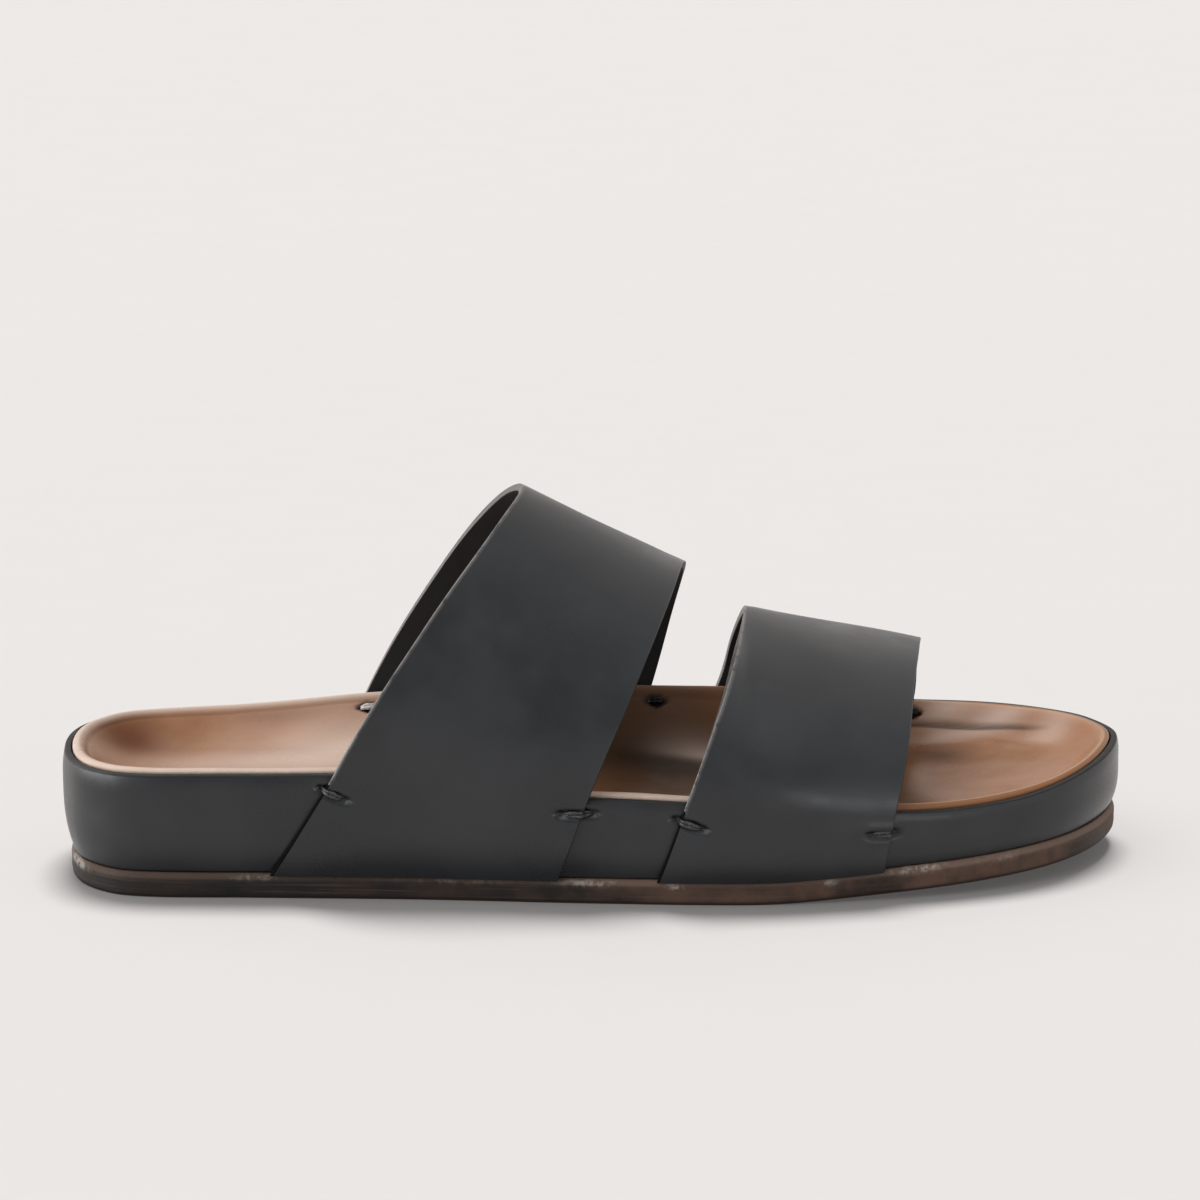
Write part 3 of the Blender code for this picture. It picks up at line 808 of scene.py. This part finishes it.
def makeWrap():
    columns, rows = sideWrap["steps"], sideWrap["levels"]
    sheet, column, row = addGrid("sideBand", columns, rows)

    def placed(column, row, depth):
        turn, level = 2 * column / columns, row / rows
        near = wrapPoint("lateral", np.minimum(turn, 1), level, depth)
        far = wrapPoint("medial", np.minimum(2 - turn, 1), level, depth)
        return np.where((turn <= 1)[:, None], near, far)

    outside = placed(column, row, 0.0)
    away = unit(outside - placed(column, row, 1.0))
    drawn, dark = tackRelief(outside)
    wave = sideWrap["unevenness"] * softNoise(outside, sideWrap["waveSize"], sideWrap["seed"])
    placeVertices(sheet, outside + away * (wave - sideWrap["drawn"] * drawn)[:, None])
    keepGrid(sheet, column, row)
    # the wrap's top row takes painted shade; edgeMm far from any edge keeps the straps' painted edge highlight off
    # the wrap
    keepNumbers(sheet, edgeMm=np.full(len(row), sideWrap["noEdgeSheen"]), gap=row >= rows - 1, hole=dark)
    weld(sheet)
    makeShell(sheet, lambda column, row: placed(column, row, sideWrap["thickness"]), sideWrap["edgeRound"], 2)
    handIn(sheet, "side_wrap", "black_leather", black, lining, dyedEdge, shadedRim)


makeWrap()

insole = {
    "inset": 2.5, "thickness": 2.0, "columns": 300, "rows": 120, "even": 0.65,
    "proud": 0.4, "beadInset": 1.7, "beadEase": 0.8, "edgeDrop": 0.2,
    "unevenness": 0.12, "waveSize": 22.0, "seed": 11, "calmEdge": 4.0,
    "bead": {
        "x": (0, 60, 180, 230, 260, 280),
        "lateral": (0.6, 0.5, 0.7, 0.9, 0.8, 0.5),
        "medial": (0.9, 1, 1, 0, -0.2, 0.3),
    },
    "bed": {
        "x": (0, 40, 75, 110, 145, 180, 210, 240, 280),
        "height": (28, 27.5, 27.8, 27.3, 24, 20.5, 19.5, 21.5, 25.5),
        "lateral": (14, 14, 14, 14, 15, 14, 12, 9, 8),
        "medial": (14, 15, 22, 28, 24, 16, 12, 9, 8),
    },
    "swells": (
        mound(160.0, -2.0, 20.0, 20.0, 2.0),
        mound(221.0, 0.0, 8.0, 26.0, 1.5, 0.25),
        mound(234.0, 20.0, 10.0, 9.0, -0.8),
        mound(196.0, 22.0, 14.0, 12.0, -0.7),
        mound(238.0, -12.0, 10.0, 12.0, -0.5),
        mound(36.0, 0.0, 26.0, 17.0, -0.4),
    ),
    # crease and groove are cut into the surface and also painted with shade in the material; the groove's dark is its
    # share of that shade
    "crease": {"x": (206, 218, 229, 237, 246, 254, 264), "y": (38.8, 39.3, 38.5, 36.8, 34.2, 31.4, 26),
               "deep": 0.9, "wide": 0.7, "starts": (206, 216), "ends": (265, 257), "eases": (268, 238), "least": 0.3},
    "ridge": {"x": (222, 229, 233, 241, 248, 254, 260), "y": (37, 36, 35, 32.2, 28.2, 22.4, 16.4),
              "high": 0.4, "wide": 2.2, "starts": (224, 232), "ends": (262, 254)},
    "groove": {"in": 3.9, "deep": 0.3, "wide": 0.55, "eases": (224, 212), "least": 0.25, "dark": 0.25},
    # painted shade: in the heel cup, under the far heel bead, between the straps, in the toe hollow and beside the
    # front strap's edge
    "paintedShade": (
        mound(17.5, 16.0, 11.0, 11.0, 1.0),
        mound(56.0, 26.0, 16.0, 2.6, 0.4),
        mound(155.0, 10.0, 42.0, 45.0, 1.0),
        mound(234.0, 20.0, 9.0, 8.0, 0.55),
        mound(217.0, -18.0, 9.0, 18.0, 0.55),
    ),
    # painted sheen: reflected light on the heel bed, a band between the straps and the toe's far wall
    "paintedSheen": (
        mound(78.0, 6.0, 28.0, 19.0, 1.0),
        mound(42.0, 0.0, 28.0, 10.0, 0.45),
        mound(171.0, 20.0, 11.0, 8.0, 0.85),
        mound(236.0, 39.4, 10.0, 2.6, 0.7),
        mound(252.0, 34.4, 9.0, 3.4, 0.7),
        mound(264.0, 25.0, 7.0, 5.0, 0.5),
        mound(236.0, 33.8, 10.0, 2.4, 0.55),
    ),
}


def insoleCad(x, y):  # top of the insole before its small forms
    lateral, medial = halfWidth("lateral", x), halfWidth("medial", x)
    across = np.clip((y - lateral) / (medial - lateral), 0, 1)
    share = across * across * (3 - 2 * across)

    def mixed(rows):
        return through(rows, "x", "lateral", x) * (1 - share) + through(rows, "x", "medial", x) * share

    rise, reach = mixed(insole["bead"]), mixed(insole["bed"])
    bead = mixed(sole["rim"]) + insole["proud"] + rise
    inwards = np.maximum(0, edgeDistance(x, y) - insole["inset"])
    past = np.maximum(0, inwards - insole["beadInset"])
    climb = np.maximum(0, 1 - past * past / (past + insole["beadEase"]) / reach) ** 2
    short = np.clip(1 - inwards / insole["beadInset"], 0, 1)
    bed = through(insole["bed"], "x", "height", x) + swells(x, y, insole["swells"])
    return bed + (bead - bed) * climb - (rise + insole["edgeDrop"]) * (1 - np.sqrt(1 - short ** 2))


def insideSpots():  # where a tack's thread shows on the insole's wall
    made = []
    for spot in tackSpots:
        xs = spot["x"] + spot["inside"] + insideTack["reach"] * np.linspace(-1, 1, insideTack["points"])
        ys = halfWidth(spot["side"], xs) - spot["outward"] * spot["insideEdge"]
        line, deeper = (np.stack([xs, y, insoleCad(xs, y)], axis=1) for y in (ys, ys - spot["outward"]))
        middle = insideTack["points"] // 2
        along = unit(line[-1] - line[0])
        out = unit(np.cross(along, deeper[middle] - line[middle]))
        made.append({"line": line, "middle": line[middle], "along": along, "out": out if out[2] > 0 else -out})
    return made


insideTacks = insideSpots()


# a recess round each inside stitch, with a dark lens of painted shade round it
def stitchRecess(points):
    long, wide = insideTack["recessLong"], insideTack["recessWide"]
    deep, dark = np.zeros(len(points)), np.zeros(len(points))
    for spot in insideTacks:
        away = points - spot["middle"]
        s, t = away @ spot["along"], away @ np.cross(spot["out"], spot["along"])
        lens = (s / long) ** 2 + (t / wide) ** 2 + insideTack["pointed"] * np.abs(s * t) / wide
        deep += insideTack["recess"] * np.clip(insideTack["recessEdge"] - lens, 0, 1)
        dark = np.maximum(dark, np.clip((insideTack["darkEdge"] - lens) / insideTack["darkFade"], 0, 1))
    return deep, dark


def makeInsole():
    columns, rows = insole["columns"], insole["rows"]
    sheet, column, row = addGrid("insoleLeather", columns, rows)
    shares = crowded(np.arange(columns + 1) / columns, insole["even"])
    shares[0], shares[-1] = 0, 1

    def plan(column, row):
        share, inset = shares[column], insole["inset"]
        lateral, medial = (np.stack(outlineAt(s, share, inset), axis=1) for s in ("lateral", "medial"))
        return lateral + (medial - lateral) * crowded(row / rows)[:, None]

    def along(form):  # near a line in the toe bed
        near = bell(y - through(form, "x", "y", x), form["wide"])
        return near * (fade(x, *form["starts"]) * fade(x, *form["ends"]))

    def eased(form):
        return np.maximum(form["least"], fade(x, *form["eases"]))

    x, y = plan(column, row).T
    inwards = np.maximum(0, edgeDistance(x, y) - insole["inset"])
    z = insoleCad(x, y)
    low = np.empty((columns + 1, rows + 1))
    low[column, row] = z - insole["thickness"]
    crease, groove, ridge = insole["crease"], insole["groove"], insole["ridge"]
    fold, seam = along(crease), bell(inwards - groove["in"], groove["wide"]) * eased(groove)
    z -= crease["deep"] * fold * eased(crease) + groove["deep"] * seam
    z += ridge["high"] * along(ridge)
    points = np.stack([x, y, z], axis=1)
    deep, dark = stitchRecess(points)
    points[:, 2] -= deep
    wave = insole["unevenness"] * softNoise(points, insole["waveSize"], insole["seed"])
    points[:, 2] += wave * np.clip(inwards / insole["calmEdge"], 0, 1)
    placeVertices(sheet, points)
    keepGrid(sheet, column, row)
    tones = {tone: np.clip(swells(x, y, insole[tone]), 0, 1) for tone in ("paintedShade", "paintedSheen")}
    keepNumbers(sheet, edgeMm=inwards, hole=dark, groove=np.maximum(fold, groove["dark"] * seam), **tones)
    editMesh(sheet)
    extrudeTo(sheet, lambda column, row: np.column_stack([plan(column, row), low[column, row]]))
    dropGrid(sheet)
    weld(sheet)
    handIn(sheet, "insole", "insole_leather", brown)


makeInsole()

outsole = {
    "columns": 400, "rows": 14, "seed": 21, "trimmed": 0.064, "waveSize": 19.0, "trimmedFrom": 0.5, "trimmedTo": 6.5,
    "treadTall": 0.3,
    "scuffs": (  # where y is the height up the edge
        mound(221.0, 5.9, 5.5, 0.8, 1.0),
        mound(243.0, 5.4, 8.0, 0.8, 0.2),
        mound(136.0, 5.6, 6.0, 0.6, 0.7),
        mound(158.0, 5.0, 1.8, 0.8, 0.7),
        mound(198.0, 5.0, 1.8, 0.8, 0.6),
        mound(50.0, 5.7, 5.0, 0.6, 0.4),
        mound(4.0, 5.4, 2.5, 1.0, 0.6),
        mound(100.0, 5.5, 12.0, 0.6, 0.2),
    ),
    "inset": {"x": (0, 180, 280), "more": (1.7, 1.5, 0.8)},
    "edge": (  # inset and height of each line round the edge, from the top down
        (0.95, 6.7), (0.7, 6.55), (0.35, 5.9), (0.08, 5.2), (0, 4.8), (0, 4.0), (0.05, 3.1), (0.02, 2.2), (0.04, 1.3),
        (0.15, 0.6), (0.35, 0.25), (0.7, 0.03), (1.6, 0),
    ),
}


def makeOutsole():
    columns, rows = outsole["columns"], outsole["rows"]
    sheet, column, row = addGrid("outsoleLeather", columns, rows)

    def layer(inset, height):
        def placed(column, row):
            share, across = column / columns, crowded(row / rows)
            sides = []
            for side in ("lateral", "medial"):
                widest = outlineAt(side, share, 0)[0]
                more = through(outsole["inset"], "x", "more", widest) + inset
                sides.append(np.stack([*outlineAt(side, share, more), np.full(len(share), height)], axis=1))
            flat = sides[0] + (sides[1] - sides[0]) * across[:, None]
            rough = outsole["trimmed"] * softNoise(flat, outsole["waveSize"], outsole["seed"])
            flat[:, 2] += soleRise(flat[:, 0])
            if outsole["trimmedFrom"] < height < outsole["trimmedTo"]:
                flat[:, 2] += rough * bell(across - 0.5, 0.45, 8)
            return flat
        return placed

    placeVertices(sheet, layer(*outsole["edge"][0])(column, row))
    keepGrid(sheet, column, row)
    editMesh(sheet)
    for inset, height in outsole["edge"][1:]:
        extrudeTo(sheet, layer(inset, height))
    dropGrid(sheet)
    weld(sheet)
    x, _, z = (readVertices(sheet) / mm - np.array(sole["toFrame"])).T
    height = z - soleRise(x)
    scuff, tread = swells(x, height, outsole["scuffs"]), 1 - height / outsole["treadTall"]
    keepNumbers(sheet, heightMm=height, alongMm=x, scuff=np.clip(scuff, 0, 1), tread=np.clip(tread, 0, 1))
    handIn(sheet, "outsole", "outsole_leather", soleLeather)


makeOutsole()


def threadTube(path, name, thick, look):  # one strand of plied thread along a path, closed at its ends
    rings, sides = len(path) - 1, tackForm["sides"]
    tube, column, row = addGrid(name, rings, sides)
    ahead = unit(np.gradient(path, axis=0))
    side = unit(np.cross(ahead, (0.1, 0.2, 1.0)))
    over = np.cross(side, ahead)
    angle, share = 2 * np.pi * row / sides, column / rings
    ends = 2 * share - 1
    twist = tackForm["plies"] * angle + 2 * np.pi * tackForm["plyTurns"] * share
    radius = thick * (1 + tackForm["lobes"] * np.cos(twist))
    radius *= np.sqrt(np.clip(1 - ends ** tackForm["endPower"], 0, 1)) * (1 - tackForm["taper"] * ends ** 2)
    ring = side[column] * np.cos(angle)[:, None] + over[column] * np.sin(angle)[:, None]
    placeVertices(tube, path[column] + ring * radius[:, None])
    weld(tube)
    tube.data.materials.append(look)
    return tube


def makeTacks():
    made, form = [], tackForm
    s = np.linspace(-1, 1, form["rings"] + 1)
    for number, spot in enumerate(tackSpots):
        reach = spot["reach"]
        over = np.clip((s * reach + spot["shift"] + form["stepAhead"]) / form["stepLong"], 0, 1)
        climb = form["step"] * over * over * (3 - 2 * over)  # the thread climbs over the strap's edge
        dive = form["dive"] * np.maximum(0, 1 - (1 - np.abs(s)) * reach / form["diveLong"]) ** form["divePower"]
        out = form["low"] + climb - dive - spot["sunk"]
        for strand in (-1, 1):
            swing = strand * form["strandApart"] * np.cos(np.pi * s / 2) ** 0.8
            crossing = form["crossing"] * strand * np.sin(np.pi * s)
            path = spot["middle"] + np.outer(s * reach, spot["along"])
            path += np.outer(out + crossing, spot["out"]) + np.outer(swing, spot["up"])
            made.append(threadTube(path, f"tackStrand{number}{strand + 1}", form["radius"], thread))
    for number, spot in enumerate(insideTacks):
        out = through(insideTack["path"], "along", "out", s)
        line = spot["line"]
        base = np.stack([np.interp(s, np.linspace(-1, 1, len(line)), line[:, c]) for c in range(3)], axis=1)
        # the stitches behind the rear strap's back edge sit in light, the rest in shade
        look = litThread if number < 2 else shadedThread
        for strand in (-1, 1):
            swing = insideTack["strandApart"] * strand * np.cos(np.pi * s * 0.4)
            path = base + np.outer(out, spot["out"]) + np.outer(swing, np.cross(spot["out"], spot["along"]))
            made.append(threadTube(path, f"insideStrand{number}{strand + 1}", insideTack["radius"], look))
    only(*made)
    bpy.ops.object.join()
    piece = bpy.context.object
    piece.name = piece.data.name = "barTacks"
    handIn(piece, None, "black_leather")


makeTacks()

for owner in bpy.data.objects:
    if owner.name == frame["nodes"]["footbed"].name:
        owner.data.materials.clear()
        owner.data.materials.append(cork)

# floor, light and camera
studio = {
    "floorSize": 14.0, "floor": (0.15, 0.1438, 0.1402), "glow": 0.075, "glowTone": (1.0, 0.975, 0.955, 1),
    "sun": 11.4, "sunFrom": (0.055, 0.3, 1.0), "sunWide": 24.0,
    "top": 0.85, "back": 0.7, "front": 0.4, "left": 1.3, "right": 0.95,
    "warm": (1.0, 0.96, 0.925), "cool": (0.965, 0.985, 1.0),
    "panels": (  # high on the heel's side, low in front of the toes, and a strip behind the heel
        {"level": 2.8, "edges": (("X", 0.02, -0.2), ("Z", 0.5, 0.72))},
        {"level": 9.0, "edges": (("X", 0.2, 0.3), ("X", 0.56, 0.46), ("Z", 0.13, 0.02), ("Y", -0.5, -0.7))},
        {"level": 7.0, "edges": (("X", -0.72, -0.86), ("Z", 0.34, 0.18))},
    ),
}


def makeFloor():
    bpy.ops.object.select_all(action="DESELECT")
    bpy.ops.mesh.primitive_plane_add(size=studio["floorSize"])
    floor = bpy.context.object
    floor.name = "studioFloor"
    paper, tree, shader, place = newMaterial("floorPaper")
    shade = mixColour(tree, noise(tree, place, 3.0), studio["floor"], tuple(0.985 * c for c in studio["floor"]))
    setSurface(tree, shader, shade, remap(tree, noise(tree, place, 40.0), 0.3, 0.7, 0.85, 0.9), specular=0.1)
    shader.inputs["Emission Color"].default_value = studio["glowTone"]
    shader.inputs["Emission Strength"].default_value = studio["glow"]  # stands for light that the room throws back
    floor.data.materials.append(paper)
    bpy.ops.object.light_add(type="SUN", rotation=Vector(studio["sunFrom"]).to_track_quat("Z", "Y").to_euler())
    sun = bpy.context.object
    sun.name = sun.data.name = "floorLight"
    sun.data.energy, sun.data.angle = studio["sun"], math.radians(studio["sunWide"])
    lit = bpy.data.collections.new("litFloor")
    lit.objects.link(floor)
    sun.light_linking.receiver_collection = lit  # it only lifts the paper, so that the shadow stays close


def makeWorld():
    world = bpy.data.worlds.new("softBox")
    bpy.context.scene.world = world
    world.use_nodes = True
    tree = world.node_tree
    direction = newNode(tree, "ShaderNodeTexCoord").outputs["Generated"]
    axes = newNode(tree, "ShaderNodeSeparateXYZ", {0: direction}).outputs

    def towards(value, target, share):
        return calc(tree, "ADD", value, times(tree, calc(tree, "SUBTRACT", target, value), share))

    behind = remap(tree, axes["Y"], -0.55, 0.7)
    strength = remap(tree, behind, 0, 1, studio["front"], studio["back"])
    atSides = remap(tree, calc(tree, "ABSOLUTE", axes["X"]), 0.2, 0.7)
    strength = towards(strength, remap(tree, axes["X"], -1, 1, studio["left"], studio["right"]), atSides)
    strength = towards(strength, studio["top"], remap(tree, axes["Z"], 0.5, 0.95))
    for panel in studio["panels"]:
        shares = [remap(tree, axes[axis], outer, inner) for axis, outer, inner in panel["edges"]]
        strength = towards(strength, panel["level"], times(tree, *shares))
    sky = tree.nodes["Background"].inputs
    tree.links.new(strength, sky["Strength"])
    tree.links.new(mixColour(tree, behind, studio["cool"], studio["warm"]), sky["Color"])


makeFloor()
makeWorld()

view = {"azimuth": -3.0, "elevation": 16.5, "distance": 1.5, "focalPixels": 5649.0, "picture": 1200, "sensor": 36.0,
        "aimUp": 0.0682, "aimRight": 0.0012}


def makeCamera():
    turn, rise = math.radians(view["azimuth"]), math.radians(view["elevation"])
    back = Vector((math.sin(turn) * math.cos(rise), -math.cos(turn) * math.cos(rise), math.sin(rise)))
    right = Vector((math.cos(turn), math.sin(turn), 0))
    eye, aim = back * view["distance"], back.cross(right) * view["aimUp"] + right * view["aimRight"]
    bpy.ops.object.select_all(action="DESELECT")
    bpy.ops.object.camera_add(location=eye, rotation=(eye - aim).to_track_quat("Z", "Y").to_euler())
    camera = bpy.context.object
    camera.data.sensor_width = view["sensor"]
    camera.data.lens = view["focalPixels"] / view["picture"] * view["sensor"]
    bpy.context.scene.camera = camera


makeCamera()
bpy.context.scene.view_settings.view_transform = "Standard"
print("studio made")
